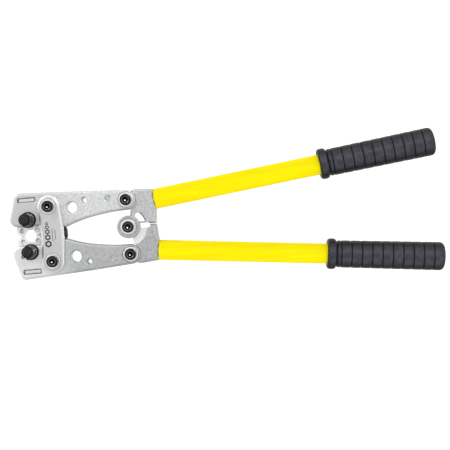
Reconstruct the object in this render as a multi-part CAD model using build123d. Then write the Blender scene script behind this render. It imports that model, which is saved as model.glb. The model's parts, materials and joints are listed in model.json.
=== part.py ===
from build123d import *
import math
import os

# Hex crimping tool for cable lugs, closed. Millimetres.
# The origin is the centre of the crimp cavity, halfway through the tool's thickness.
# +X runs along the tool's axis to the grips, +Y is the upper jaw's side, +Z is the front.

# Pivots, in the closed pose
LINK_X = 20.2
PIVOT_Y = 24.75
JAW_ARM = 69.4
REAR_X = LINK_X + JAW_ARM
HANDLE_OPENING = 45.0

# Thicknesses through the tool
BODY_HALF = 8.0
TONGUE_HALF = 4.0
FORK_HALF = 4.15
FACE_GAP = 0.1
LINK_THICK = 6.0
LINK_LOW = BODY_HALF + FACE_GAP
LINK_HIGH = LINK_LOW + LINK_THICK

# Pivot fasteners
SHOULDER_R = 3.95
PIVOT_BORE_R = 4.0
THREAD_R = 2.95
NUT_BORE_R = 3.0
BOLT_HEAD_R = 5.1
BOLT_HEAD_HIGH = 5.5
BOLT_SOCKET_FLATS = 5.0
BOLT_SOCKET_DEEP = 2.8
THREAD_SPARE = 1.0
WASHER_R = 6.7
WASHER_THICK = 1.0
WIDE_WASHER_R = 8.7
NUT_FLATS = 10.0
NUT_HIGH = 5.0
NUT_CORNER_R = 5.55
SPOT_FACE_R = 7.3
SPOT_FACE_DEEP = 1.0
CENTRE_FACE_R = 8.2
CENTRE_FACE_DEEP = 0.8
SMALL_CHAMFER = 0.4
SCREW_ROUND = 0.6

# Dies
DIE_Y = 14.5
DIE_FLAT = 14.45
DIE_RIM_R = 16.4
DIE_HALF = 4.0
NOTCH_FLATS = [10.5, 11.6, 9.0, 7.5, 6.2]
LOBE_HOLE_AT = 11.6
LOBE_HOLE_R = 2.2
LOBE_HOLE_DEEP = 3.4
POCKET_R = 16.8
POCKET_TOP = 4.15
LOCATING_PIN_R = 2.1
LOCATING_PIN_LOW = 0.9
LOCATING_PIN_HIGH = 6.5

# Die axle, spring and circlip
AXLE_R = 3.95
AXLE_TOP = 27.0
AXLE_HEAD_R = 6.0
AXLE_HEAD_THICK = 2.5
AXLE_SLOT = 1.2
GROOVE_R = 3.4
GROOVE_LOW = 24.4
GROOVE_HIGH = 25.5
AXLE_POINT = 0.8
CIRCLIP_R = 4.9
CIRCLIP_THICK = 1.0
CIRCLIP_TURNS = {"upper": -65.0, "lower": 111.0}
CIRCLIP_PLAY = 0.05
EAR_R = 1.5
EAR_SPREAD = 2.2
EAR_HOLE_R = 0.75
EAR_GAP = 1.8
SEAT_R = 7.2
SEAT_HIGH = 1.4
COLLAR_R = 5.3
COLLAR_THICK = 1.0
SPRING_R = 4.75
SPRING_WIRE_R = 0.6
SPRING_TURNS = 5.5
SPRING_PLAY = 0.02

# Jaw
JAW_FRONT_LOW = (-18.9, 8.6)
JAW_FRONT_HIGH = (-10.1, 39.6)
JAW_OUTER_MIDDLE = (LINK_X + 33.9, 36.2)
JAW_TAIL_R = 9.0
JAW_INNER_CURVE = [(LINK_X + 43.9, 13.6), (LINK_X + 25.9, 9.9), (LINK_X + 12.9, 5.4)]
JAW_THROAT_FRONT_X = 14.5
JAW_STEP_X = 11.3
JAW_EDGE = 2.2
JAW_LOW_ROUND = 7.0
JAW_HIGH_ROUND = 5.0
JAW_OUTER_ROUND = 60.0
JAW_FORK_X = REAR_X - 9.2
WINDOW_Y = 32.4
WINDOW_WIDE = 16.8
WINDOW_HIGH = 4.6
WINDOW_ROUND = 1.0
KEY_WIDE = 14.2
KEY_INNER_Y = DIE_Y + 16.6
KEY_LOW = -7.0
KEY_LEDGE = (4.3, 5.5)
KEY_TOP = 7.0
KEY_GAP = 0.6
HANG_HOLE = (LINK_X + 19.9, 22.2)
HANG_HOLE_R = 5.25
PEG_HOLE = (LINK_X + 31.7, 28.0)
PEG_HOLE_R = 2.4
HOLE_BEVEL = 0.6
PLUG_AT = (LINK_X + 53.3, 27.6)
PLUG_R = 2.9
PLUG_DEEP = 0.6
PLUG_LONG = 3.0
PLUG_SLOT = 0.8
PLUG_SLOT_DEEP = 0.5
PLUG_SLOT_TURN = 35.0

# Link plates and the spacer between them
LINK_END_R = 10.2
LINK_WAIST_LEFT = 8.8
LINK_WAIST_RIGHT = 11.5
LINK_ROUND = 2.4
SPACER_X = (LINK_X + 6.3, LINK_X + 12.1)
SPACER_ROUND = 0.8
SPACER_HALF = 3.8
SPACER_TENON_R = 2.0
SPACER_TENON_X = LINK_X + 8.5
SPACER_TENON_LONG = 2.5

# Handle heads
TONGUE_R = 8.5
HEAD_RECESS_R = 9.9
RECESS_BEVEL = 1.5
LUG_R = 10.2
LUG_BEVEL = 0.8
LUG_POCKET_R = 17.2
BACK_POCKET_R = 17.6
HEAD_EDGE = 1.6
UPPER_STOP_Y = 1.5
LOWER_STOP_Y = 0.8
CENTRE_PLAY = 0.3
CRESCENT_R = 16.0
CRESCENT_LOW_Y = 4.2
CRESCENT_END = 46.0
CRESCENT_BEVEL = 1.3
NOTCH_END_X = REAR_X + 20.0
NOTCH_HALF = 2.35
NOTCH_Y = 0.25
REAR_HALF = 9.2
SPIGOT_R = 7.5
SPIGOT_LONG = 28.0
SPIGOT_ROOT = 4.0

# Handle tubes and grips, measured along the tube from its front end
TUBE_START = (LINK_X + 95.1, 23.3)
TUBE_ANGLE = 6.55
TUBE_R = 9.25
TUBE_BORE_R = 7.6
TUBE_END_GAP = 0.5
GRIP_AT = 152.6
GRIP_LONG = 107.0
GRIP_BORE_R = 9.3
GRIP_END_WALL = 3.5
FLANGE_LONG = 8.2
FLANGE_R = 14.1
FLANGE_ROUND = 2.6
NECK_R = 11.4
NECK_END = 11.2
GRIP_FRONT_R = 12.4
GRIP_REAR_R = 13.0
GROOVE_FIRST = 12.6
GROOVE_PITCH = 9.3
GROOVE_COUNT = 10
GROOVE_WIDE = 1.0
GROOVE_DEEP = 0.7
GRIP_END_ROUND = 4.6

FAR = 200.0


def disc(radius, x, y, low, high):
    """A round bar along Z."""
    bar = Cylinder(radius, high - low, align=(Align.CENTER, Align.CENTER, Align.MIN))
    return Pos(x, y, low) * bar


def block(x_pair, y_pair, z_pair):
    """A box between two corners."""
    size = [pair[1] - pair[0] for pair in (x_pair, y_pair, z_pair)]
    middle = [(pair[0] + pair[1]) / 2 for pair in (x_pair, y_pair, z_pair)]
    return Pos(*middle) * Box(*size)


def slab(face, low, high):
    """A flat outline made thick along Z."""
    return Pos(0, 0, low) * extrude(face, high - low)


def hex_bar(flats, x, y, low, high):
    """A hexagonal bar along Z, with two flats facing +Y and -Y."""
    face = RegularPolygon(flats / 2, 6, major_radius=False, rotation=30)
    return Pos(x, y, 0) * slab(Rot(0, 0, 30) * face, low, high)


def to_side(shape, side):
    """The upper side's shape, or its mirror image on the lower side."""
    return shape if side > 0 else mirror(shape, about=Plane.XZ)


def rim_edges(solid):
    """The edges round the front and back faces of a plate."""
    faces = solid.faces().sort_by(Axis.Z)
    return faces[0].edges() + faces[-1].edges()


def group(solids):
    return Compound(children=list(solids))


# Fasteners


def washer(x, y, outer, bore, low):
    ring = disc(outer, x, y, low, low + WASHER_THICK)
    return ring - disc(bore, x, y, low, low + WASHER_THICK)


def hex_nut(x, y, low):
    nut = hex_bar(NUT_FLATS, x, y, low, low + NUT_HIGH)
    corners = disc(NUT_CORNER_R, x, y, low, low + NUT_HIGH)
    corners = chamfer(corners.edges().sort_by(Axis.Z)[0], SCREW_ROUND)
    return (nut & corners) - disc(NUT_BORE_R, x, y, low, low + NUT_HIGH)


def shoulder_bolt(x, y, head_low, shoulder_low):
    """A socket-head bolt: head, plain shoulder and the thread that takes the nut."""
    head_top = head_low + BOLT_HEAD_HIGH
    head = disc(BOLT_HEAD_R, x, y, head_low, head_top)
    head = fillet(head.edges().sort_by(Axis.Z)[-1], SCREW_ROUND)
    head -= hex_bar(BOLT_SOCKET_FLATS, x, y, head_top - BOLT_SOCKET_DEEP, head_top)
    shoulder = disc(SHOULDER_R, x, y, shoulder_low, head_low)
    thread_low = shoulder_low - WASHER_THICK - NUT_HIGH - THREAD_SPARE
    return head + shoulder + disc(THREAD_R, x, y, thread_low, shoulder_low)


# Link


def toward(start, target, distance):
    """The point at a distance from start, in the direction of target."""
    full = math.dist(start, target)
    return tuple(a + (b - a) * distance / full for a, b in zip(start, target))


def link_outline():
    """Two round ends about the link pivots, with a hollow left side and a full right side.

    Both sides are arcs tangent to the ends, centred on the tool's axis.
    """
    pivot = (LINK_X, PIVOT_Y)
    hollow_r = (PIVOT_Y**2 - LINK_END_R**2 + LINK_WAIST_LEFT**2) / (2 * (LINK_END_R - LINK_WAIST_LEFT))
    full_r = (PIVOT_Y**2 - LINK_END_R**2 + LINK_WAIST_RIGHT**2) / (2 * (LINK_WAIST_RIGHT - LINK_END_R))
    left = toward(pivot, (LINK_X - LINK_WAIST_LEFT - hollow_r, 0), LINK_END_R)
    right = toward(pivot, (LINK_X + LINK_WAIST_RIGHT - full_r, 0), -LINK_END_R)
    top = (LINK_X, PIVOT_Y + LINK_END_R)
    edges = [
        ThreePointArc(left, top, right),
        ThreePointArc(right, (LINK_X + LINK_WAIST_RIGHT, 0), (right[0], -right[1])),
        ThreePointArc((right[0], -right[1]), (top[0], -top[1]), (left[0], -left[1])),
        ThreePointArc((left[0], -left[1]), (LINK_X - LINK_WAIST_LEFT, 0), left),
    ]
    return make_face(edges)


def link_plate():
    """The front link plate, rounded over at its outer face."""
    plate = slab(link_outline(), LINK_LOW, LINK_HIGH)
    plate = fillet(plate.faces().sort_by(Axis.Z)[-1].edges(), LINK_ROUND)
    for y in (PIVOT_Y, -PIVOT_Y):
        plate -= disc(PIVOT_BORE_R, LINK_X, y, LINK_LOW, LINK_HIGH)
    return plate - disc(SPACER_TENON_R, SPACER_TENON_X, 0, LINK_LOW, LINK_LOW + SPACER_TENON_LONG)


def link_spacer():
    """The block that keeps the plates apart, with a round tenon into each plate."""
    body = block(SPACER_X, (-SPACER_HALF, SPACER_HALF), (-LINK_LOW, LINK_LOW))
    body = fillet(body.edges().filter_by(Axis.Z), SPACER_ROUND)
    reach = LINK_LOW + SPACER_TENON_LONG - FACE_GAP
    return body + disc(SPACER_TENON_R, SPACER_TENON_X, 0, -reach, reach)


def link_fasteners():
    ends = (PIVOT_Y, -PIVOT_Y)
    head_low = LINK_HIGH + WASHER_THICK
    back = -LINK_HIGH - WASHER_THICK
    return {
        "link_bolts": group(shoulder_bolt(LINK_X, y, head_low, -LINK_HIGH) for y in ends),
        "link_washers_front": group(washer(LINK_X, y, WASHER_R, PIVOT_BORE_R, LINK_HIGH) for y in ends),
        "link_washers_back": group(washer(LINK_X, y, WASHER_R, NUT_BORE_R, back) for y in ends),
        "link_nuts": group(hex_nut(LINK_X, y, back - NUT_HIGH) for y in ends),
    }


# Jaw


def jaw_outline():
    """The upper jaw's profile: blunt front, straight outer edge, round tail and curved inner edge."""
    tail_top = (REAR_X, PIVOT_Y + JAW_TAIL_R)
    tail_low = (REAR_X, PIVOT_Y - JAW_TAIL_R)
    throat_y = JAW_INNER_CURVE[-1][1]
    inner = Spline(tail_low, *JAW_INNER_CURVE, tangents=[(-1, 0), (-0.93, -0.36)])
    edges = [
        Polyline(JAW_INNER_CURVE[-1], (JAW_THROAT_FRONT_X, throat_y), (JAW_STEP_X, JAW_FRONT_LOW[1]),
                 JAW_FRONT_LOW, JAW_FRONT_HIGH, JAW_OUTER_MIDDLE, tail_top),
        ThreePointArc(tail_top, (REAR_X + JAW_TAIL_R, PIVOT_Y), tail_low),
        inner,
    ]
    face = make_face(edges)
    face = round_corner(face, JAW_FRONT_LOW, JAW_LOW_ROUND)
    face = round_corner(face, JAW_FRONT_HIGH, JAW_HIGH_ROUND)
    return round_corner(face, JAW_OUTER_MIDDLE, JAW_OUTER_ROUND)


def round_corner(face, corner, radius):
    """Rounds the corner of an outline that lies nearest to a point."""
    vertex = face.vertices().sort_by_distance((corner[0], corner[1], 0))[0]
    return fillet(vertex, radius)


def bevelled_hole(radius, x, y):
    """A hole through a jaw, bevelled at both faces."""
    bevel = Pos(x, y, BODY_HALF - HOLE_BEVEL / 2) * Cone(radius, radius + HOLE_BEVEL, HOLE_BEVEL)
    return disc(radius, x, y, -BODY_HALF, BODY_HALF) + bevel + mirror(bevel, about=Plane.XY)


def jaw_casting():
    """The upper jaw: a thick plate with a die pocket open at the back and a forked tail."""
    jaw = slab(jaw_outline(), -BODY_HALF, BODY_HALF)
    jaw = fillet(rim_edges(jaw), JAW_EDGE)
    jaw -= disc(POCKET_R, 0, DIE_Y, -BODY_HALF, POCKET_TOP)
    jaw -= disc(PIVOT_BORE_R, 0, DIE_Y, 0, BODY_HALF)
    jaw -= jaw_window()
    for x, y in locating_places():
        jaw -= disc(LOCATING_PIN_R, x, y, 0, LOCATING_PIN_HIGH)
    jaw -= disc(PIVOT_BORE_R, LINK_X, PIVOT_Y, -BODY_HALF, BODY_HALF)
    jaw -= bevelled_hole(HANG_HOLE_R, *HANG_HOLE)
    jaw -= bevelled_hole(PEG_HOLE_R, *PEG_HOLE)
    jaw -= disc(PLUG_R, *PLUG_AT, BODY_HALF - PLUG_DEEP - PLUG_LONG, BODY_HALF)
    jaw -= block((JAW_FORK_X, FAR), (0, FAR), (-FORK_HALF, FORK_HALF))
    jaw -= disc(PIVOT_BORE_R, REAR_X, PIVOT_Y, -BODY_HALF, BODY_HALF)
    jaw -= disc(SPOT_FACE_R, REAR_X, PIVOT_Y, BODY_HALF - SPOT_FACE_DEEP, BODY_HALF)
    return jaw - disc(SPOT_FACE_R, REAR_X, PIVOT_Y, -BODY_HALF, SPOT_FACE_DEEP - BODY_HALF)


def jaw_window():
    """The oblong window through the jaw behind the die."""
    half = WINDOW_WIDE / 2
    edge = WINDOW_HIGH / 2
    window = block((-half, half), (WINDOW_Y - edge, WINDOW_Y + edge), (-BODY_HALF, BODY_HALF))
    return fillet(window.edges().filter_by(Axis.Z), WINDOW_ROUND)


def thrust_key():
    """The hard steel key in the window, which the wheel's rear lobe bears on.

    Above the wheel a ledge fills the window's height, and the front part is narrower.
    """
    half = KEY_WIDE / 2
    outer = WINDOW_Y + WINDOW_HIGH / 2
    inner = WINDOW_Y - WINDOW_HIGH / 2 + FACE_GAP
    deep = block((-half, half), (KEY_INNER_Y, outer), (KEY_LOW, KEY_LEDGE[0]))
    ledge = block((-half, half), (inner, outer), KEY_LEDGE)
    face = block((-half, half), (inner + KEY_GAP, outer - KEY_GAP), (KEY_LEDGE[1], KEY_TOP))
    return deep + ledge + chamfer(face.edges().sort_by(Axis.Z)[-4:], SMALL_CHAMFER)


def plug_screw():
    """The slotted plug screw, sunk in the jaw's arm."""
    top = BODY_HALF - PLUG_DEEP
    plug = disc(PLUG_R, *PLUG_AT, top - PLUG_LONG, top)
    slot = Box(2 * PLUG_R, PLUG_SLOT, 2 * PLUG_SLOT_DEEP)
    return plug - Pos(PLUG_AT[0], PLUG_AT[1], top) * Rot(0, 0, PLUG_SLOT_TURN) * slot


# Dies


def around_axle(radius, angle):
    """A place on the upper die, with its angle counted from the working notch."""
    turn = math.radians(angle - 90)
    return radius * math.cos(turn), DIE_Y + radius * math.sin(turn)


def locating_places():
    return [around_axle(LOBE_HOLE_AT, angle) for angle in (-108, 108, 180)]


def locating_pins():
    """Three pins pressed into the jaw, which enter the wheel's lobes."""
    pins = [disc(LOCATING_PIN_R, x, y, LOCATING_PIN_LOW, LOCATING_PIN_HIGH) for x, y in locating_places()]
    return group(chamfer(pin.edges().sort_by(Axis.Z)[0], SMALL_CHAMFER) for pin in pins)


def die_wheel():
    """A five-sided wheel with a half-hexagon notch in each side and a blind hole in each lobe."""
    sides = Pos(0, DIE_Y, 0) * Rot(0, 0, -90) * RegularPolygon(DIE_FLAT, 5, major_radius=False, rotation=36)
    wheel = slab(sides, -DIE_HALF, DIE_HALF) & disc(DIE_RIM_R, 0, DIE_Y, -DIE_HALF, DIE_HALF)
    wheel = chamfer(rim_edges(wheel), SMALL_CHAMFER)
    for index, flats in enumerate(NOTCH_FLATS):
        notch = hex_bar(flats, 0, -DIE_Y, -DIE_HALF, DIE_HALF)
        wheel -= Pos(0, DIE_Y, 0) * Rot(0, 0, 72 * index) * notch
        x, y = around_axle(LOBE_HOLE_AT, 72 * index + 36)
        wheel -= disc(LOBE_HOLE_R, x, y, DIE_HALF - LOBE_HOLE_DEEP, DIE_HALF)
    return wheel - disc(PIVOT_BORE_R, 0, DIE_Y, -DIE_HALF, DIE_HALF)


def die_axle():
    """The axle: a slotted head behind the wheel, a long shank and a circlip groove."""
    head_low = -DIE_HALF - AXLE_HEAD_THICK
    axle = disc(AXLE_R, 0, DIE_Y, -DIE_HALF, AXLE_TOP)
    axle = chamfer(axle.edges().sort_by(Axis.Z)[-1], AXLE_POINT)
    groove = disc(AXLE_R + 1, 0, DIE_Y, GROOVE_LOW, GROOVE_HIGH)
    axle -= groove - disc(GROOVE_R, 0, DIE_Y, GROOVE_LOW, GROOVE_HIGH)
    head = disc(AXLE_HEAD_R, 0, DIE_Y, head_low, -DIE_HALF)
    head = chamfer(head.edges().sort_by(Axis.Z)[0], SMALL_CHAMFER)
    slot = Pos(0, DIE_Y, head_low) * Box(2 * AXLE_HEAD_R, AXLE_SLOT, AXLE_SLOT * 2)
    return axle + (head - slot)


def circlip(turn):
    """An open ring with a drilled ear at each side of its gap, turned from +X."""
    low = GROOVE_LOW + CIRCLIP_PLAY
    high = low + CIRCLIP_THICK
    ring = disc(CIRCLIP_R, 0, 0, low, high)
    for y in (-EAR_SPREAD, EAR_SPREAD):
        ring += disc(EAR_R, CIRCLIP_R, y, low, high)
        ring -= disc(EAR_HOLE_R, CIRCLIP_R, y, low, high)
    ring -= disc(GROOVE_R + CIRCLIP_PLAY, 0, 0, low, high)
    ring -= block((0, 2 * CIRCLIP_R), (-EAR_GAP / 2, EAR_GAP / 2), (low, high))
    return Pos(0, DIE_Y, 0) * Rot(0, 0, turn) * ring


def spring_seat():
    ring = disc(SEAT_R, 0, DIE_Y, BODY_HALF, BODY_HALF + SEAT_HIGH)
    ring = chamfer(ring.edges().sort_by(Axis.Z)[-1], SMALL_CHAMFER)
    return ring - disc(PIVOT_BORE_R + FACE_GAP, 0, DIE_Y, BODY_HALF, BODY_HALF + SEAT_HIGH)


def spring_collar():
    low = GROOVE_LOW - COLLAR_THICK
    return disc(COLLAR_R, 0, DIE_Y, low, GROOVE_LOW) - disc(PIVOT_BORE_R, 0, DIE_Y, low, GROOVE_LOW)


def die_spring():
    """The open coil between the spring seat and the collar."""
    low = BODY_HALF + SEAT_HIGH + SPRING_WIRE_R + SPRING_PLAY
    high = GROOVE_LOW - COLLAR_THICK - SPRING_WIRE_R - SPRING_PLAY
    path = Helix((high - low) / SPRING_TURNS, high - low, SPRING_R)
    section = Plane(origin=path @ 0, z_dir=path % 0) * Circle(SPRING_WIRE_R)
    return Pos(0, DIE_Y, low) * sweep(section, path=path, is_frenet=True)


# Rear pivot of each jaw


def rear_pivot(side):
    """Bolt, washers and nut that clamp the jaw's fork and carry the handle head's tongue."""
    word = "upper" if side > 0 else "lower"
    y = side * PIVOT_Y
    floor = BODY_HALF - SPOT_FACE_DEEP
    back = -floor - WASHER_THICK
    return {
        f"{word}_rear_bolt": shoulder_bolt(REAR_X, y, floor + WASHER_THICK, -floor),
        f"{word}_rear_washer_front": washer(REAR_X, y, WASHER_R, PIVOT_BORE_R, floor),
        f"{word}_rear_washer_back": washer(REAR_X, y, WASHER_R, NUT_BORE_R, back),
        f"{word}_rear_nut": hex_nut(REAR_X, y, back - NUT_HIGH),
    }


# Handle heads


def along_tube(distance, offset):
    """A place beside the upper tube's axis, in the tool's frame."""
    turn = math.radians(TUBE_ANGLE)
    x = TUBE_START[0] + distance * math.cos(turn) - offset * math.sin(turn)
    return x, TUBE_START[1] + distance * math.sin(turn) + offset * math.cos(turn)


def head_outline(stop_y):
    """The upper head's plate, from the neck round the tube's end to the stop face."""
    return make_face(Polyline(
        (REAR_X + 2.1, 6.0), (REAR_X + 3.4, 15.7), (REAR_X + 3.4, 23.0), (REAR_X + 5.8, 33.95),
        along_tube(0, REAR_HALF), along_tube(0, -REAR_HALF), (REAR_X + 25.6, stop_y),
        (REAR_X + 7.0, stop_y), close=True))


def head_recess():
    """The round recess for the jaw's tail, bevelled at the front and back faces."""
    recess = disc(HEAD_RECESS_R, REAR_X, PIVOT_Y, -BODY_HALF, BODY_HALF)
    bevel = Cone(HEAD_RECESS_R, HEAD_RECESS_R + RECESS_BEVEL, RECESS_BEVEL)
    front = Pos(REAR_X, PIVOT_Y, BODY_HALF - RECESS_BEVEL / 2) * bevel
    return recess + front + mirror(front, about=Plane.XY)


def head_blank(stop_y):
    """Plate, tongue and tube spigot, before the centre lug is shaped."""
    outline = head_outline(stop_y)
    plate = chamfer(rim_edges(slab(outline, -BODY_HALF, BODY_HALF)), HEAD_EDGE)
    plate -= head_recess()
    tongue = slab(outline, -TONGUE_HALF, TONGUE_HALF)
    tongue &= disc(HEAD_RECESS_R + RECESS_BEVEL, REAR_X, PIVOT_Y, -TONGUE_HALF, TONGUE_HALF)
    tongue += disc(TONGUE_R, REAR_X, PIVOT_Y, -TONGUE_HALF, TONGUE_HALF)
    long = SPIGOT_LONG + SPIGOT_ROOT
    spigot = Cylinder(SPIGOT_R, long, align=(Align.CENTER, Align.CENTER, Align.MIN))
    spigot = chamfer(spigot.edges().sort_by(Axis.Z)[-1], HEAD_EDGE / 2)
    start = (*along_tube(-SPIGOT_ROOT, 0), 0)
    blank = plate + tongue + Location(start, (0, 0, TUBE_ANGLE)) * Rot(0, 90, 0) * spigot
    return blank - disc(PIVOT_BORE_R, REAR_X, PIVOT_Y, -TONGUE_HALF, TONGUE_HALF)


def crescent():
    """The rounded slot through the upper head beside its lug, bevelled on its outer side."""
    end = math.radians(CRESCENT_END)
    corner = (REAR_X + CRESCENT_LOW_Y / math.tan(end), CRESCENT_LOW_Y)
    ray = (REAR_X + FAR * math.cos(end), FAR * math.sin(end))
    wedge = make_face(Polyline(corner, (REAR_X + FAR, CRESCENT_LOW_Y), ray, close=True))
    bevel = Cone(CRESCENT_R, CRESCENT_R + CRESCENT_BEVEL, CRESCENT_BEVEL)
    ring = disc(CRESCENT_R, REAR_X, 0, -BODY_HALF, BODY_HALF)
    ring += Pos(REAR_X, 0, BODY_HALF - CRESCENT_BEVEL / 2) * bevel
    ring -= disc(LUG_R, REAR_X, 0, -BODY_HALF, BODY_HALF)
    middle = (CRESCENT_R + LUG_R) / 2
    tip = disc((CRESCENT_R - LUG_R) / 2, REAR_X + middle * math.cos(end), middle * math.sin(end),
               -BODY_HALF, BODY_HALF)
    return (ring & slab(wedge, -BODY_HALF, BODY_HALF)) + tip


def stop_notch():
    """The round-ended notch between the lugs and the stop faces, through both heads."""
    middle = NOTCH_END_X - NOTCH_HALF
    y_pair = (NOTCH_Y - NOTCH_HALF, NOTCH_Y + NOTCH_HALF)
    notch = block((REAR_X + LUG_R / 2, middle), y_pair, (-BODY_HALF, BODY_HALF))
    return notch + disc(NOTCH_HALF, middle, NOTCH_Y, -BODY_HALF, BODY_HALF)


def lug(low, high, outer_edge):
    """The round lug about the centre bolt, bevelled on its outer face."""
    body = disc(LUG_R, REAR_X, 0, low, high)
    return chamfer(body.edges().sort_by(Axis.Z)[outer_edge], LUG_BEVEL)


def upper_head():
    """The upper head, whose lug is the front half of the centre pivot."""
    head = head_blank(UPPER_STOP_Y) - crescent() - stop_notch()
    head -= disc(BACK_POCKET_R, REAR_X, 0, -BODY_HALF, FACE_GAP)
    head += lug(FACE_GAP, BODY_HALF, -1)
    head -= disc(CENTRE_FACE_R, REAR_X, 0, BODY_HALF - CENTRE_FACE_DEEP, BODY_HALF)
    return head - disc(PIVOT_BORE_R, REAR_X, 0, 0, BODY_HALF)


def lower_head():
    """The lower head, whose lug is the back half of the centre pivot."""
    head = mirror(head_blank(-LOWER_STOP_Y), about=Plane.XZ)
    head -= disc(LUG_POCKET_R, REAR_X, 0, -FACE_GAP, BODY_HALF)
    head -= stop_notch()
    head += lug(-BODY_HALF, -FACE_GAP, 0)
    x, y, radius = centre_clearance()
    return head - disc(radius, REAR_X + x, y, -BODY_HALF, 0)


def centre_clearance():
    """Centre and radius of the lower lug's hole, which lets the centre bolt wander as the tool opens.

    The jaws turn in proportion to the handles, so the two lugs part a little between the limits.
    """
    handle = math.radians(HANDLE_OPENING / 2)
    jaw = math.asin(PIVOT_Y * (1 - math.cos(math.radians(HANDLE_OPENING))) / JAW_ARM) / 2
    apart = 2 * (PIVOT_Y * (1 - math.cos(handle)) - JAW_ARM * math.sin(jaw))
    x = -apart * math.sin(handle) / 2
    y = apart * math.cos(handle) / 2
    return x, y, SHOULDER_R + abs(apart) / 2 + CENTRE_PLAY


def centre_pivot():
    """Bolt, washers and nut at the centre, held by the upper head."""
    floor = BODY_HALF - CENTRE_FACE_DEEP
    back = -LINK_LOW - WASHER_THICK
    return {
        "centre_bolt": shoulder_bolt(REAR_X, 0, floor + WASHER_THICK, -LINK_LOW),
        "centre_washer_front": washer(REAR_X, 0, WASHER_R, PIVOT_BORE_R, floor),
        "centre_washer_back": washer(REAR_X, 0, WIDE_WASHER_R, NUT_BORE_R, back),
        "centre_nut": hex_nut(REAR_X, 0, back - NUT_HIGH),
    }


# Tubes and grips


def on_tube(solid):
    """Places a shape that was made along +X from the tube's front end."""
    return Location((*TUBE_START, 0), (0, 0, TUBE_ANGLE)) * solid


def handle_tube():
    long = GRIP_AT + GRIP_LONG - GRIP_END_WALL - TUBE_END_GAP
    tube = Cylinder(TUBE_R, long, align=(Align.CENTER, Align.CENTER, Align.MIN))
    tube -= Cylinder(TUBE_BORE_R, long, align=(Align.CENTER, Align.CENTER, Align.MIN))
    return on_tube(Rot(0, 90, 0) * tube)


def grip_profile():
    """Half section of the grip: flange, neck and a ribbed body that swells to its round end."""
    points = [(0, GRIP_BORE_R), (0, FLANGE_R), (FLANGE_LONG, FLANGE_R), (FLANGE_LONG, NECK_R),
              (NECK_END, NECK_R), (NECK_END, GRIP_FRONT_R)]
    for index in range(GROOVE_COUNT):
        start = GROOVE_FIRST + index * GROOVE_PITCH
        radius = GRIP_FRONT_R + (GRIP_REAR_R - GRIP_FRONT_R) * index / GROOVE_COUNT
        end = start + GROOVE_WIDE
        points += [(start, radius), (start, radius - GROOVE_DEEP)]
        points += [(end, radius - GROOVE_DEEP), (end, radius)]
    wall = GRIP_LONG - GRIP_END_WALL
    points += [(GRIP_LONG, GRIP_REAR_R), (GRIP_LONG, 0), (wall, 0), (wall, GRIP_BORE_R)]
    face = make_face(Polyline(*points, close=True))
    face = round_corner(face, (0, FLANGE_R), FLANGE_ROUND)
    face = round_corner(face, (FLANGE_LONG, FLANGE_R), FLANGE_ROUND)
    return round_corner(face, (GRIP_LONG, GRIP_REAR_R), GRIP_END_ROUND)


def grip():
    return on_tube(Pos(GRIP_AT, 0, 0) * revolve(grip_profile(), Axis.X))


def jaw_pieces(side):
    """All nodes of one jaw and its die, for the upper (+1) or lower (-1) side."""
    word = "upper" if side > 0 else "lower"
    shapes = {
        "jaw": jaw_casting(),
        "thrust_key": thrust_key(),
        "plug_screw": plug_screw(),
        "locating_pins": locating_pins(),
        "spring_seat": spring_seat(),
        "die_wheel": die_wheel(),
        "die_axle": die_axle(),
        "die_circlip": circlip(CIRCLIP_TURNS[word]),
        "spring_collar": spring_collar(),
        "die_spring": die_spring(),
    }
    return {f"{word}_{name}": to_side(shape, side) for name, shape in shapes.items()}


def all_pieces():
    plate = link_plate()
    pieces = {
        "link_plate_front": plate,
        "link_plate_back": mirror(plate, about=Plane.XY),
        "link_spacer": link_spacer(),
        **link_fasteners(),
        **centre_pivot(),
        "upper_handle_head": upper_head(),
        "lower_handle_head": lower_head(),
    }
    for side, word in ((1, "upper"), (-1, "lower")):
        pieces.update(jaw_pieces(side))
        pieces.update(rear_pivot(side))
        pieces[f"{word}_handle_tube"] = to_side(handle_tube(), side)
        pieces[f"{word}_handle_grip"] = to_side(grip(), side)
    return pieces


os.makedirs("parts", exist_ok=True)
for node, shape in all_pieces().items():
    export_step(shape, f"parts/{node}.step")
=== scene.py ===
"""Looks of the hex crimping tool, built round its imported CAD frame. Metres, front of the tool up (+Z)."""

import json
import math
import bmesh
import bpy
from mathutils import Matrix, Vector


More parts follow.
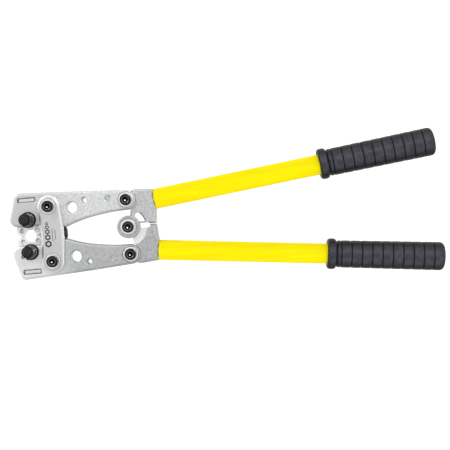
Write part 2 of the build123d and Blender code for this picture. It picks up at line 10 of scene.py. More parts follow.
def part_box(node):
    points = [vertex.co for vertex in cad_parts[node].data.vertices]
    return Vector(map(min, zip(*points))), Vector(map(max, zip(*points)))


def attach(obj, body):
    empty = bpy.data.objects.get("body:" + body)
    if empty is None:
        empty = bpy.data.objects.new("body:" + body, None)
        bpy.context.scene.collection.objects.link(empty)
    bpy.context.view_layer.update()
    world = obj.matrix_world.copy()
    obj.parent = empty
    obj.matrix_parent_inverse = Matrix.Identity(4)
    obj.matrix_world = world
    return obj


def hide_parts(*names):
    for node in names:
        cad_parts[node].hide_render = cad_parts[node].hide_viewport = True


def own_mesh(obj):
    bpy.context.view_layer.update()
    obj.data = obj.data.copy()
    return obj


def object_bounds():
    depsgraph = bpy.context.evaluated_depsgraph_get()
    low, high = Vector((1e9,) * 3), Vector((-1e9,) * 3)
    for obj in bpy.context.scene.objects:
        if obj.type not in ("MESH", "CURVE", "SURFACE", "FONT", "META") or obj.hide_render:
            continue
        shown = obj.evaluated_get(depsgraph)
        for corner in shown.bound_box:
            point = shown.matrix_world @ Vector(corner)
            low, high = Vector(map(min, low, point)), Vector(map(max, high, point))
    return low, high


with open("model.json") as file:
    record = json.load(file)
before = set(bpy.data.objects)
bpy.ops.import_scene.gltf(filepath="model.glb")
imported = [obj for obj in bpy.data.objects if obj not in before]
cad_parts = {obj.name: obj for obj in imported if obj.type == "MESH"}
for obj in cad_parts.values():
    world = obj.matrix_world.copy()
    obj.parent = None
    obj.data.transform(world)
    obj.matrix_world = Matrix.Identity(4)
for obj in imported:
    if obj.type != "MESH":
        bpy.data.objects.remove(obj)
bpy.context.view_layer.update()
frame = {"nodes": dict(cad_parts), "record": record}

MM = 0.001
SIDES = {"upper": 1, "lower": -1}

# Camera, straight above the tool and turned a little. Metres, degrees and millimetres of lens
CAMERA_AT = (0.17692, -0.00628, 0.890)
CAMERA_ROLL = -5.25
CAMERA_LENS = 78.07
SENSOR_WIDTH = 36.0
CLIP_START = 0.05
CLIP_END = 20

# Brightness of the room, and its two ramps: an axis, where the ramp starts and ends, and its strengths
ROOM_SIDES = 1.17
ROOM_OVERHEAD = 0.845
ROOM_OPENING = 0.58
ROOM_RAMPS = (("Z", 0.25, 1.0, ROOM_SIDES, ROOM_OVERHEAD), ("Y", -0.75, -0.08, ROOM_OPENING, 1.0))

# Lights: place, size and power
KEY_LIGHT = ((0.45, 0.5, 1.2), 0.12, 3.0)
SIDE_LIGHT = ((-0.8, 0.8, 0.8), 0.8, 5.0)
FILL_LIGHT = ((0.3, -1.1, 0.5), 0.9, 9.0)
KEY_TARGET = (0.05, 0, 0)

# Floor
FLOOR_HALF = 3.0
FLOOR_GLOW = 0.95

# Rays that feel for edges and corners in a material
FEELER_RAYS = 6

# Socket bolts
HEAD_HIGH = 5.5 * MM
HEAD_R = 5.1 * MM
SOCKET_HALF = 2.5 * MM
SOCKET_DEEP = 2.8 * MM
DRILL_POINT_R = 1.25 * MM
SHOULDER_R = 3.95 * MM
THREAD_R = 2.95 * MM
THREAD_LONG = 7.0 * MM
THREAD_PITCH = 1.0 * MM
THREAD_DEEP = 0.45 * MM
THREAD_SHOWN = 2.0 * MM
KNURL_TEETH = 48
KNURL_DEEP = 0.22 * MM
THREAD_STEPS = 16
SOCKET_TURNS = (17, 40)
CHAMFER_REACH = 1.0 * MM
CHAMFER_DEEP = 0.4 * MM
HEAD_FACE = 0.01 * MM

# Die springs. GROUND_HEIGHT is the end turn's centre above its seat, as a share of the wire's radius
WIRE_R = 0.6 * MM
GROUND_HEIGHT = 0.45
SPRING_TOP_R = 4.7 * MM
SPRING_BASE_R = 6.0 * MM
ACTIVE_TURNS = 2.6
CLOSED_TURNS = 0.8
STEPS_PER_TURN = 32
WIRE_CORNERS = 14

# Grips, measured along the tube from the flange's front face. BEAD_POWER below 1 squares the flange
GRIP_LONG = 107.0 * MM
GRIP_PAST_TUBE = 4.0 * MM
GRIP_BORE_R = 9.3 * MM
BORE_START = 0.6 * MM
BORE_PAST_TUBE = 0.3 * MM
BEAD_R = 14.1 * MM
BEAD_BASE_R = 11.0 * MM
BEAD_LONG = 8.2 * MM
BEAD_POWER = 0.72
NECK_R = 11.4 * MM
NECK_END = 10.6 * MM
BODY_FRONT_R = 12.3 * MM
BODY_REAR_R = 12.87 * MM
FIRST_GROOVE = 12.5 * MM
GROOVE_PITCH = 9.3 * MM
GROOVE_COUNT = 10
GROOVE_HALF = 0.65 * MM
GROOVE_DEEP = 0.8 * MM
GROOVE_SHAPE = (
    (-1.0, 0.0), (-0.75, 0.1), (-0.55, 0.4), (-0.4, 0.8), (-0.2, 1.0),
    (0.2, 1.0), (0.4, 0.8), (0.55, 0.4), (0.75, 0.1), (1.0, 0.0),
)
SECTION_CROWN = 0.12 * MM
END_ROUND = 4.6 * MM
END_DRAWN_IN = 3.6 * MM
END_DOME = 0.5 * MM
GRIP_SEGMENTS = 112

# Castings: where a jaw's front look ends, a painted lightening or darkening for how light falls round the
# dies, and the pockets and recesses turned in the heads, painted brighter to lift their shade
FRONT_END = 45 * MM
FRONT_FADE = 30 * MM
POCKET_R = 17.25 * MM
POCKET_FLOOR = -0.5 * MM
RECESS_R = 11.42 * MM
RECESS_FLOOR = -20.0 * MM

# Mark on the link plate
MARK_X = -2.6 * MM
MARK_START = -12.0 * MM
MARK_HEX_COUNT = 5
MARK_HEX_LARGE = 3.2 * MM
MARK_HEX_SMALL = 1.4 * MM
MARK_HEX_HOLE = 0.52
MARK_BARS = (1.6 * MM, 4.2 * MM)
MARK_BAR_REACH = (5.6 * MM, 4.4 * MM)
MARK_BAR_Y = -1.0 * MM
MARK_BAR_HALF_WIDE = 0.3 * MM
MARK_SLIT_HALF_WIDE = 0.09 * MM
MARK_BAR_EDGE = 0.2 * MM
MARK_THICK = 0.02 * MM

# Size numbers on the backs of the die wheels
DIE_SIZES = ("16", "25", "10", "35", "50")
NUMBER_HIGH = 3.4 * MM
NUMBER_REACH = 7.6 * MM
NOTCH_STEP = 72


# Materials


class Look:
    """A material whose node tree is built with short calls. Lengths are metres in the tool's frame."""

    def __init__(self, name, metallic, roughness):
        self.material = bpy.data.materials.new(name)
        self.material.use_nodes = True
        self.nodes = self.material.node_tree.nodes
        self.links = self.material.node_tree.links
        self.shader = self.nodes["Principled BSDF"]
        self.shader.inputs["Metallic"].default_value = metallic
        self.shader.inputs["Roughness"].default_value = roughness
        self.place = self.nodes.new("ShaderNodeTexCoord").outputs["Object"]

    def feed(self, socket, value):
        """Links a socket to another node's output, or sets it to a number or colour."""
        if isinstance(value, bpy.types.NodeSocket):
            self.links.new(value, socket)
        else:
            socket.default_value = value

    def stretched(self, factors):
        """The place, scaled by a factor along each axis."""
        node = self.nodes.new("ShaderNodeVectorMath")
        node.operation = "MULTIPLY"
        self.feed(node.inputs[0], self.place)
        node.inputs[1].default_value = factors
        return node.outputs["Vector"]

    def noise(self, size, detail=3.0, place=None):
        """Cloudy values near 0.5, with features about size across."""
        node = self.nodes.new("ShaderNodeTexNoise")
        self.feed(node.inputs["Vector"], place or self.place)
        node.inputs["Scale"].default_value = 1 / size
        node.inputs["Detail"].default_value = detail
        return node.outputs["Fac"]

    def cells(self, size):
        """The distance to the nearest of many scattered points about size apart."""
        node = self.nodes.new("ShaderNodeTexVoronoi")
        self.feed(node.inputs["Vector"], self.place)
        node.inputs["Scale"].default_value = 1 / size
        return node.outputs["Distance"]

    def spread(self, value, low, high, start=0.0, end=1.0):
        """Maps low..high to start..end, held at both ends."""
        node = self.nodes.new("ShaderNodeMapRange")
        node.interpolation_type = "SMOOTHSTEP"
        for name, number in (("Value", value), ("From Min", low), ("From Max", high),
                             ("To Min", start), ("To Max", end)):
            self.feed(node.inputs[name], number)
        return node.outputs["Result"]

    def maths(self, operation, first, second):
        """The result of one operation on two values."""
        node = self.nodes.new("ShaderNodeMath")
        node.operation = operation
        self.feed(node.inputs[0], first)
        self.feed(node.inputs[1], second)
        return node.outputs["Value"]

    def mixed(self, share, first, second):
        """A colour between two colours."""
        node = self.nodes.new("ShaderNodeMix")
        node.data_type = "RGBA"
        colours = [socket for socket in node.inputs if socket.type == "RGBA"]
        self.feed(node.inputs[0], share)
        for socket, colour in zip(colours, (first, second)):
            self.feed(socket, colour)
        return next(socket for socket in node.outputs if socket.type == "RGBA")

    def within(self, middle, radius, floor):
        """1 inside a round pocket that is open to the front, and 0 outside it."""
        node = self.nodes.new("ShaderNodeSeparateXYZ")
        self.feed(node.inputs[0], self.place)
        across = self.maths("SUBTRACT", node.outputs["X"], middle[0])
        along = self.maths("SUBTRACT", node.outputs["Y"], middle[1])
        squares = self.maths("ADD", self.maths("POWER", across, 2.0), self.maths("POWER", along, 2.0))
        near = self.maths("LESS_THAN", self.maths("SQRT", squares, 0.0), radius)
        front = self.maths("GREATER_THAN", node.outputs["Z"], floor)
        return self.maths("MULTIPLY", near, front)

    def along(self, axis, low, high, start, end):
        """Maps the place along an axis, from low..high to start..end."""
        node = self.nodes.new("ShaderNodeSeparateXYZ")
        self.feed(node.inputs[0], self.place)
        return self.spread(node.outputs[axis], low, high, start, end)

    def edges(self, radius):
        """The normal rounded over edges, and how near a sharp edge is, from 0 to 1."""
        bevel = self.nodes.new("ShaderNodeBevel")
        bevel.samples = FEELER_RAYS
        bevel.inputs["Radius"].default_value = radius
        geometry = self.nodes.new("ShaderNodeNewGeometry")
        dot = self.nodes.new("ShaderNodeVectorMath")
        dot.operation = "DOT_PRODUCT"
        self.feed(dot.inputs[0], bevel.outputs["Normal"])
        self.feed(dot.inputs[1], geometry.outputs["Normal"])
        return bevel.outputs["Normal"], self.spread(dot.outputs["Value"], 0.995, 0.85)

    def facing(self, low, high, axis="Z"):
        """How far a face looks along an axis, either way, mapped so that low gives 0 and high 1."""
        geometry = self.nodes.new("ShaderNodeNewGeometry")
        node = self.nodes.new("ShaderNodeSeparateXYZ")
        self.feed(node.inputs[0], geometry.outputs["Normal"])
        return self.spread(self.maths("ABSOLUTE", node.outputs[axis], 0.0), low, high)

    def crevices(self, reach):
        """0 in open places and up to 1 deep in corners, by occlusion: the looks darken by it as painted
        shade.
        """
        node = self.nodes.new("ShaderNodeAmbientOcclusion")
        node.samples = FEELER_RAYS
        node.inputs["Distance"].default_value = reach
        return self.spread(node.outputs["AO"], 0.95, 0.35)

    def bumped(self, height, distance, normal=None):
        """The normal over a relief of a height from 0 to 1, as deep as distance."""
        node = self.nodes.new("ShaderNodeBump")
        node.inputs["Distance"].default_value = distance
        self.feed(node.inputs["Height"], height)
        if normal is not None:
            self.feed(node.inputs["Normal"], normal)
        return node.outputs["Normal"]

    def finish(self, colour, roughness, normal):
        """Wires the shader up and returns the material."""
        self.feed(self.shader.inputs["Base Color"], colour)
        self.feed(self.shader.inputs["Roughness"], roughness)
        self.feed(self.shader.inputs["Normal"], normal)
        return self.material


def grey(value, warm=0.0):
    """An opaque grey, a little warmer or cooler."""
    return (value * (1 + warm), value, value * (1 - warm), 1.0)


def cast_steel(name, level, front_level=None, machined=(), speckle=0.3, walls=0.62, warm=-0.006):
    """A shot-blasted casting: grain, pits, soft blotches, rubbed edges, painted shade in the corners and on
    the upright sides.

    Front_level is the level round the dies, where it differs: painted light and shade for how light
    falls along the jaw. Machined lists turned pockets by middle, radius and floor: they are smoother,
    and painted brighter to lift their shade. Speckle is the share of dark spots, walls is the level of
    the long upright sides as painted shade, a share of the level, and warm is the tint.
    """
    look = Look(name, 0.85, 0.42)
    grain = look.noise(1.5 * MM, 4.0)
    sparkle = look.noise(0.9 * MM, 2.0)
    blotches = look.noise(12 * MM, 4.0)
    spots = look.noise(2.6 * MM, 5.0)
    pits = look.spread(look.cells(1.6 * MM), 0.08, 0.24)
    rounded, worn = look.edges(0.7 * MM)
    worn = look.maths("MULTIPLY", worn, look.spread(look.noise(2 * MM), 0.3, 0.6, 0.45, 1.0))
    body = look.mixed(look.spread(grain, 0.36, 0.64), grey(level * 0.88, warm), grey(level * 1.1, warm))
    body = look.mixed(look.spread(sparkle, 0.62, 0.75, 0.0, 0.4), body, grey(level * 1.4))
    body = look.mixed(look.spread(blotches, 0.3, 0.7, 0.0, 0.35), body, grey(level * 0.84, warm))
    body = look.mixed(look.spread(spots, 0.44, 0.62, 0.0, speckle), body, grey(level * 0.62, warm))
    body = look.mixed(look.spread(pits, 0.0, 1.0, 0.3, 0.0), body, grey(level * 0.55))
    # Painted light and shade: the level changes toward the dies, for how light falls along the jaw.
    if front_level:
        near = look.along("X", FRONT_END - FRONT_FADE, FRONT_END, 0.75, 0.0)
        body = look.mixed(near, body, grey(front_level, warm))
    # Painted shade: upright sides that face along Y are darkened.
    upright = look.maths("MULTIPLY", look.facing(0.5, 0.2), look.facing(0.3, 0.8, "Y"))
    body = look.mixed(upright, body, grey(level * walls, warm))
    body = look.mixed(worn, body, grey(min(0.95, level * 1.25)))
    # Painted shade: corners and creases darkened by occlusion.
    body = look.mixed(look.crevices(0.9 * MM), body, grey(level * 0.7, 0.01))
    rough = look.spread(grain, 0.3, 0.7, 0.46, 0.36)
    relief = look.maths("ADD", look.maths("MULTIPLY", pits, 0.5), grain)
    # Turned pockets: smoother, and painted brighter to lift the shade in them.
    for pocket in machined:
        inside = look.within(*pocket)
        body = look.mixed(inside, body, look.mixed(look.spread(grain, 0.3, 0.7), grey(0.86), grey(0.95)))
        relief = look.maths("MULTIPLY", relief, look.maths("SUBTRACT", 1.0, inside))
    return look.finish(body, rough, look.bumped(relief, 0.06 * MM, rounded))


def ground_steel(name, level):
    """Satin ground plate: fine lines along its length, faint scratches, rubbed edges, a painted highlight on
    the sloped fillets and painted shade in the corners.
    """
    look = Look(name, 0.88, 0.36)
    lines = look.noise(0.35 * MM, 3.0, look.stretched((1.0, 0.08, 1.0)))
    scratches = look.noise(1.1 * MM, 2.0, look.stretched((1.0, 0.03, 1.0)))
    blotches = look.noise(7 * MM)
    rounded, worn = look.edges(0.4 * MM)
    body = look.mixed(look.spread(lines, 0.3, 0.7), grey(level * 0.9, -0.01), grey(level * 1.07))
    body = look.mixed(look.spread(blotches, 0.35, 0.7, 0.0, 0.4), body, grey(level * 0.84, 0.01))
    body = look.mixed(look.spread(scratches, 0.66, 0.74, 0.0, 0.5), body, grey(level * 1.2))
    # Rubbed edges, and a painted highlight on faces that slope away from the front.
    body = look.mixed(look.maths("MAXIMUM", worn, look.facing(0.95, 0.8)), body, grey(0.85))
    # Painted shade in the corners.
    body = look.mixed(look.crevices(1.2 * MM), body, grey(level * 0.3))
    rough = look.spread(lines, 0.3, 0.7, 0.4, 0.32)
    return look.finish(body, rough, look.bumped(lines, 0.02 * MM, rounded))


def sintered_steel(name, level):
    """The dies: warm grey, fine-grained, with darker stains, rubbed edges and painted shade in the corners.
    """
    look = Look(name, 0.8, 0.42)
    grain = look.noise(0.7 * MM, 4.0)
    stains = look.noise(3.5 * MM, 4.0)
    rounded, worn = look.edges(0.45 * MM)
    body = look.mixed(look.spread(grain, 0.3, 0.7), grey(level * 0.86, 0.015), grey(level * 1.1, 0.005))
    body = look.mixed(look.spread(stains, 0.45, 0.65, 0.0, 0.4), body, grey(level * 0.74, 0.02))
    body = look.mixed(worn, body, grey(level * 1.1))
    # Painted shade in the corners.
    body = look.mixed(look.crevices(1.0 * MM), body, grey(level * 0.45, 0.02))
    rough = look.spread(stains, 0.4, 0.7, 0.38, 0.5)
    return look.finish(body, rough, look.bumped(grain, 0.05 * MM, rounded))


def blackened_steel(name, level, shine, corner_shade=1.0):
    """Oiled black parts of a given level, with rubbed edges and a share of painted shade in the corners."""
    look = Look(name, 0.8, shine)
    grain = look.noise(0.5 * MM, 4.0)
    film = look.noise(2.2 * MM)
    rounded, worn = look.edges(0.25 * MM)
    worn = look.maths("MULTIPLY", worn, look.spread(grain, 0.35, 0.6, 0.35, 1.0))
    body = look.mixed(look.spread(film, 0.35, 0.7), grey(level * 0.75, -0.02), grey(level * 1.2, 0.02))
    body = look.mixed(worn, body, grey(level * 4))
    # Painted shade: the corners darkened, by the given share.
    body = look.mixed(look.maths("MULTIPLY", look.crevices(1.2 * MM), corner_shade), body, grey(0.006))
    rough = look.spread(film, 0.35, 0.65, shine * 0.85, shine * 1.2)
    return look.finish(body, rough, look.bumped(grain, 0.01 * MM, rounded))


def spring_wire():
    """Black spring wire with a painted highlight along the crown of each turn, where it faces the front."""
    look = Look("spring_wire", 0.85, 0.25)
    look.shader.inputs["Specular IOR Level"].default_value = 0.2
    grain = look.noise(0.5 * MM, 4.0)
    # Painted highlight on the front-facing crown of each turn.
    crown = look.maths("MULTIPLY", look.facing(0.86, 0.97), look.spread(grain, 0.3, 0.55, 0.6, 1.0))
    body = look.mixed(crown, grey(0.006), grey(0.42, 0.01))
    return look.finish(body, look.spread(grain, 0.3, 0.7, 0.22, 0.34), look.bumped(grain, 0.01 * MM))


def sooty_black():
    """Dull flat black as painted shade, where light hardly reaches: inside the sockets, on the spring seats,
    and the parts deep in the throat.
    """
    look = Look("sooty_black", 0.0, 0.65)
    look.shader.inputs["Specular IOR Level"].default_value = 0.08
    dust = look.noise(1.2 * MM, 4.0)
    body = look.mixed(look.spread(dust, 0.4, 0.7), grey(0.003), grey(0.009, 0.02))
    return look.finish(body, look.spread(dust, 0.3, 0.7, 0.6, 0.75), look.bumped(dust, 0.02 * MM))


def zinc_plate(name, level):
    """Bright washers, pins and keys, with fine grain, dull patches, rubbed edges and painted shade in the
    corners.
    """
    look = Look(name, 0.95, 0.3)
    fine = look.noise(0.4 * MM, 4.0)
    patches = look.noise(2.5 * MM)
    rounded, worn = look.edges(0.3 * MM)
    body = look.mixed(look.spread(patches, 0.35, 0.65), grey(level, 0.005), grey(level * 0.9, -0.01))
    body = look.mixed(worn, body, grey(0.98))
    # Painted shade in the corners.
    body = look.mixed(look.crevices(0.6 * MM), body, grey(0.35))
    rough = look.spread(patches, 0.35, 0.7, 0.26, 0.4)
    return look.finish(body, rough, look.bumped(fine, 0.02 * MM, rounded))


def yellow_enamel():
    """Thick enamel: orange peel, faint lengthwise streaks and a few rubbed spots."""
    look = Look("yellow_enamel", 0.0, 0.35)
    look.shader.inputs["Specular IOR Level"].default_value = 0.04
    peel = look.noise(1.8 * MM, 2.0)
    cover = look.noise(3.5 * MM, 3.0, look.stretched((0.04, 1.0, 1.0)))
    scuffs = look.noise(1.2 * MM, 5.0, look.stretched((0.25, 1.0, 1.0)))
    body = look.mixed(look.spread(cover, 0.35, 0.65), (0.74, 0.615, 0.001, 1), (0.78, 0.67, 0.0015, 1))
    body = look.mixed(look.spread(scuffs, 0.7, 0.78, 0.0, 0.2), body, (0.7, 0.57, 0.006, 1))
    rough = look.spread(scuffs, 0.45, 0.75, 0.3, 0.5)
    return look.finish(body, rough, look.bumped(peel, 0.025 * MM))


def grip_rubber():
    """Moulded satin rubber: fine pebble, cloudy tone and sheen, painted shade toward the sides and in the
    grooves, and scuffed ribs.
    """
    look = Look("grip_rubber", 0.0, 0.42)
    look.shader.inputs["Specular IOR Level"].default_value = 0.2
    pebble = look.cells(0.7 * MM)
    clouds = look.noise(5 * MM, 4.0)
    scuffs = look.noise(1.2 * MM, 4.0)
    body = look.mixed(look.spread(clouds, 0.3, 0.7), (0.029, 0.029, 0.038, 1), (0.048, 0.048, 0.06, 1))
    # Painted shade: darker where the surface turns away from the front.
    body = look.mixed(look.facing(0.98, 0.55), body, (0.005, 0.005, 0.008, 1))
    body = look.mixed(look.spread(scuffs, 0.6, 0.8, 0.0, 0.4), body, (0.07, 0.07, 0.075, 1))
    # Painted shade in the grooves.
    body = look.mixed(look.crevices(1.5 * MM), body, (0.004, 0.004, 0.005, 1))
    dusty = look.spread(scuffs, 0.5, 0.8, 0.0, 0.12)
    rough = look.maths("ADD", look.spread(clouds, 0.3, 0.7, 0.34, 0.46), dusty)
    normal = look.bumped(pebble, 0.03 * MM)
    return look.finish(body, rough, look.bumped(clouds, 0.2 * MM, normal))


def mark_ink():
    """Thin dark etched ink, slightly uneven."""
    look = Look("mark_ink", 0.0, 0.6)
    speckle = look.noise(0.35 * MM, 4.0)
    body = look.mixed(look.spread(speckle, 0.45, 0.75), (0.012, 0.006, 0.006, 1), (0.04, 0.025, 0.023, 1))
    return look.finish(body, look.spread(speckle, 0.3, 0.7, 0.5, 0.7), look.bumped(speckle, 0.01 * MM))


def pale_floor():
    """Matt white paper, which glows a little as a lit backdrop does."""
    look = Look("pale_floor", 0.0, 0.8)
    clouds = look.noise(0.4, 2.0)
    body = look.mixed(look.spread(clouds, 0.3, 0.7), grey(0.28), grey(0.3))
    look.shader.inputs["Emission Color"].default_value = (1, 1, 1, 1)
    look.shader.inputs["Emission Strength"].default_value = FLOOR_GLOW
    return look.finish(body, look.spread(clouds, 0.3, 0.7, 0.75, 0.85), look.bumped(clouds, 0.2 * MM))


def middle_of(node):
    """The middle of a node's box, seen from the front."""
    low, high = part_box(node)
    return (low.x + high.x) / 2, (low.y + high.y) / 2


def make_looks():
    """Materials by the record's material slots, and by node where a part's look differs from its slot's, some
    of them lighter or darker copies that stand in for light and shade.
    """
    # Turned pockets round the centre and rear pivots, painted brighter to lift their shade.
    centre = (middle_of("centre_washer_front"), POCKET_R, POCKET_FLOOR)
    upper_recess = (middle_of("upper_rear_washer_front"), RECESS_R, RECESS_FLOOR)
    lower_recess = (middle_of("lower_rear_washer_front"), RECESS_R, RECESS_FLOOR)
    axle = blackened_steel("axle_black", 0.03, 0.35, 0.5)
    # Socket chamfers: rubbed, and lighter as a painted highlight.
    rubbed = blackened_steel("rubbed_black", 0.1, 0.28, 0.2)
    # Flat black as painted shade for the spacer, the spring seats and the socket walls.
    shade_look = sooty_black()
    # The keys' plate is a darker copy of the washers', as painted shade in their recessed slots.
    key = zinc_plate("key_steel", 0.78)
    looks = {
        # Jaws and heads: lighter and darker levels of one cast steel, as painted light and shade for how
        # light falls on each.
        "upper_jaw": cast_steel("upper_jaw_steel", 0.70, 0.57),
        "lower_jaw": cast_steel("lower_jaw_steel", 0.505, 0.86, speckle=0.4, warm=-0.015),
        "upper_handle_head": cast_steel("upper_head_steel", 0.56, machined=[upper_recess], speckle=0.5,
                                        walls=0.9, warm=-0.012),
        "lower_handle_head": cast_steel("lower_head_steel", 0.49, machined=[centre, lower_recess],
                                        speckle=0.6, walls=0.9, warm=-0.016),
        "head_steel": cast_steel("plug_steel", 0.6),
        "link_steel": ground_steel("link_steel", 0.63),
        "link_spacer": shade_look,
        "sooty_black": shade_look,
        "die_steel": sintered_steel("die_steel", 0.92),
        "bright_steel": zinc_plate("bright_steel", 0.96),
        "black_oxide": blackened_steel("black_oxide", 0.018, 0.28),
        "rubbed_black": rubbed,
        "spring_wire": spring_wire(),
        "yellow_paint": yellow_enamel(),
        "grip_rubber": grip_rubber(),
    }
    for word in SIDES:
        looks[f"{word}_spring_seat"] = shade_look
        looks[f"{word}_die_axle"] = axle
        looks[f"{word}_thrust_key"] = key
    return looks


def paint_cad_nodes(looks):
    """Gives every CAD node its own look, or its slot's."""
    for row in frame["record"]["subparts"]:
        mesh = frame["nodes"][row["node"]].data
        mesh.materials.clear()
        look = looks[row["node"]] if row["node"] in looks else looks[row["material_slot"]]
        mesh.materials.append(look)


# Mesh pieces


def as_piece(name, bm, material, body, sharp=35.0):
    """Makes an object of a bmesh, smooth except at sharp edges, riding on a CAD body."""
    bmesh.ops.recalc_face_normals(bm, faces=bm.faces)
    mesh = bpy.data.meshes.new(name)
    bm.to_mesh(mesh)
    bm.free()
    mesh.shade_smooth()
    mesh.set_sharp_from_angle(angle=math.radians(sharp))
    mesh.materials.append(material)
    piece = bpy.data.objects.new(name, mesh)
    bpy.context.scene.collection.objects.link(piece)
    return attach(piece, body)


def ring_of(bm, place, radius, along, segments):
    """A ring of points about +Z at a height, or one point where the radius is 0."""
    if radius == 0:
        return [bm.verts.new(place @ Vector((0, 0, along)))]
    ring = []
    for index in range(segments):
        angle = 2 * math.pi * index / segments
        reach = radius(angle) if callable(radius) else radius
        ring.append(bm.verts.new(place @ Vector((reach * math.cos(angle), reach * math.sin(angle), along))))
    return ring


def join_rings(bm, first, second):
    """Faces between two rings, or a fan where one of them is a point."""
    if len(first) == 1 or len(second) == 1:
        tip, ring = (first[0], second) if len(first) == 1 else (second[0], first)
        for index, vertex in enumerate(ring):
            bm.faces.new((tip, vertex, ring[(index + 1) % len(ring)]))
        return
    for index in range(len(first)):
        after = (index + 1) % len(first)
        bm.faces.new((first[index], first[after], second[after], second[index]))


def lathe(bm, place, profile, segments):
    """A turned shape: profile is (radius, height) pairs, where a radius may depend on the angle."""
    rings = [ring_of(bm, place, radius, along, segments) for radius, along in profile]
    for first, second in zip(rings, rings[1:]):
        join_rings(bm, first, second)


def hexagon(half_flats):
    """The radius of a hexagon at an angle."""
    def radius(angle):
        turn = (angle + math.pi / 6) % (math.pi / 3) - math.pi / 6
        return half_flats / math.cos(turn)
    return radius


def knurled(radius):
    """The radius of a straight-knurled head at an angle."""
    def reach(angle):
        phase = angle * KNURL_TEETH / (2 * math.pi) % 1
        return radius - KNURL_DEEP * abs(2 * phase - 1)
    return reach


def threaded(along):
    """The radius of the screw thread at a height and an angle."""
    def reach(angle):
        phase = (along / THREAD_PITCH - angle / (2 * math.pi)) % 1
        return THREAD_R - THREAD_DEEP * abs(2 * phase - 1)
    return reach


def bolt_profile(top, tip):
    """A socket-head shoulder bolt from its socket, over the head and down to the thread's tip."""
    head_low = top - HEAD_HIGH
    shoulder_low = tip + THREAD_LONG
    knurl_top, knurl_low = top - 0.9 * MM, head_low + 0.8 * MM
    profile = [
        (0, top - SOCKET_DEEP - 0.8 * MM),
        (DRILL_POINT_R, top - SOCKET_DEEP - 0.35 * MM),
        (SOCKET_HALF * 0.8, top - SOCKET_DEEP - 0.15 * MM),
        (hexagon(SOCKET_HALF), top - SOCKET_DEEP),
        (hexagon(SOCKET_HALF), top - 0.45 * MM),
        (SOCKET_HALF + 0.75 * MM, top - 0.08 * MM),
        (SOCKET_HALF + 0.9 * MM, top),
        (HEAD_R - 0.75 * MM, top),
        (HEAD_R - 0.35 * MM, top - 0.12 * MM),
        (HEAD_R - 0.1 * MM, top - 0.4 * MM),
        (HEAD_R, top - 0.75 * MM),
        (knurled(HEAD_R), knurl_top),
        (knurled(HEAD_R), knurl_low),
        (HEAD_R - 0.05 * MM, knurl_low - 0.15 * MM),
        (HEAD_R - 0.15 * MM, head_low),
        (SHOULDER_R, head_low),
        (SHOULDER_R, shoulder_low + 0.3 * MM),
        (SHOULDER_R - 0.3 * MM, shoulder_low),
        (THREAD_R, shoulder_low),
        (THREAD_R, tip + THREAD_SHOWN),
    ]
    for step in range(1, THREAD_STEPS):
        along = tip + THREAD_SHOWN * (1 - step / THREAD_STEPS)
        profile.append((threaded(along), along))
    return profile + [(THREAD_R - THREAD_DEEP - 0.1 * MM, tip), (0, tip)]


def paint_sockets(bm, x, y, top):
    """Marks a socket's rubbed chamfer with a painted highlight (look 1), its walls in flat black as painted
    shade (2) and a painted glint on one side of its drill point (3).
    """
    for face in bm.faces:
        middle = face.calc_center_median()
        reach = math.hypot(middle.x - x, middle.y - y)
        below = top - middle.z
        if reach > SOCKET_HALF + CHAMFER_REACH or below < HEAD_FACE or below > 1.5 * SOCKET_DEEP:
            continue
        if below < CHAMFER_DEEP:
            face.material_index = 1
        # Painted glint: the lower-left quarter of the drill point.
        elif reach < DRILL_POINT_R and middle.x < x and middle.y < y:
            face.material_index = 3
        # Painted shade: the rest of the socket in flat black.
        else:
            face.material_index = 2


def replace_bolts(node, body, looks):
    """Detailed bolts in place of a CAD node that holds one bolt, or two in line along Y."""
    low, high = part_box(node)
    middle_x = (low.x + high.x) / 2
    if high.y - low.y < 3 * HEAD_R:
        places = [(low.y + high.y) / 2]
    else:
        places = [high.y - HEAD_R, low.y + HEAD_R]
    bm = bmesh.new()
    for turn, y in zip(SOCKET_TURNS, places):
        place = Matrix.Translation((middle_x, y, 0)) @ Matrix.Rotation(math.radians(turn), 4, "Z")
        lathe(bm, place, bolt_profile(high.z, low.z), 4 * KNURL_TEETH)
        paint_sockets(bm, middle_x, y, high.z)
    piece = as_piece(f"{node}_detailed", bm, looks["black_oxide"], body, 30.0)
    # Looks 1 to 3: the chamfer's painted highlight, the socket's painted shade and the drill point's painted
    # glint.
    for name in ("rubbed_black", "sooty_black", "bright_steel"):
        piece.data.materials.append(looks[name])
    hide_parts(node)


def spring_height(turn, turns, low, high):
    """The height of the wire's centre: flat closed turns at both ends, even pitch between."""
    closed_rise = 2 * WIRE_R * CLOSED_TURNS
    start = low + GROUND_HEIGHT * WIRE_R
    end = high - GROUND_HEIGHT * WIRE_R
    if turn < CLOSED_TURNS:
        return start + closed_rise * turn / CLOSED_TURNS
    if turn > turns - CLOSED_TURNS:
        return end - closed_rise * (turns - turn) / CLOSED_TURNS
    share = (turn - CLOSED_TURNS) / ACTIVE_TURNS
    return start + closed_rise + (end - start - 2 * closed_rise) * share


